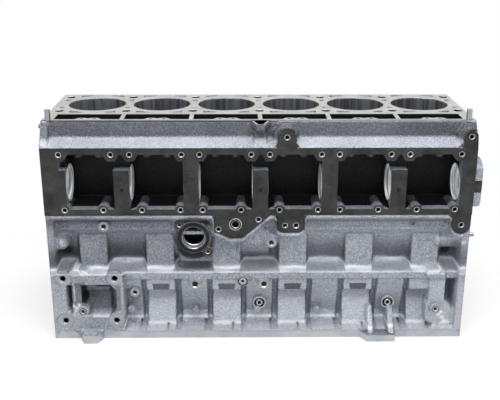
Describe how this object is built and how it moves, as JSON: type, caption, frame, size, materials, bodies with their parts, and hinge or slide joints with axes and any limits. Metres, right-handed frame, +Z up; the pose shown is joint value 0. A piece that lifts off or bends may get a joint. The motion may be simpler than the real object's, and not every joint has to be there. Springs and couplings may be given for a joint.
{
  "type": "engine block",
  "caption": "Inline six-cylinder diesel engine block with a high camshaft, three follower windows in a machined side flange, a ribbed skirt and main bearing caps",
  "frame": {"origin": "on the crankshaft axis, at the middle main bearing", "axes": "+X along the crankshaft to the rear (flywheel) end, -Y to the camshaft side, +Z up the cylinders"},
  "size_m": [1.024, 0.412, 0.566],
  "materials": {
    "cast_iron_casting": "as-cast grey iron with milled faces",
    "cast_iron_caps": "machined ductile iron",
    "alloy_steel_bolts": "black oxide steel",
    "ground_steel_pins": "ground steel",
    "plug_steel": "zinc-plated steel"
  },
  "bodies": {
    "root": {"cylinder_block": "cast_iron_casting", "main_bearing_cap_1": "cast_iron_caps", "main_bearing_cap_2": "cast_iron_caps", "main_bearing_cap_3": "cast_iron_caps", "main_bearing_cap_4": "cast_iron_caps", "main_bearing_cap_5": "cast_iron_caps", "main_bearing_cap_6": "cast_iron_caps", "main_bearing_cap_7": "cast_iron_caps", "main_cap_bolts": "alloy_steel_bolts", "deck_dowels": "ground_steel_pins", "housing_dowels": "ground_steel_pins", "deck_gallery_plug": "plug_steel", "core_plugs": "plug_steel"}
  },
  "joints": []
}
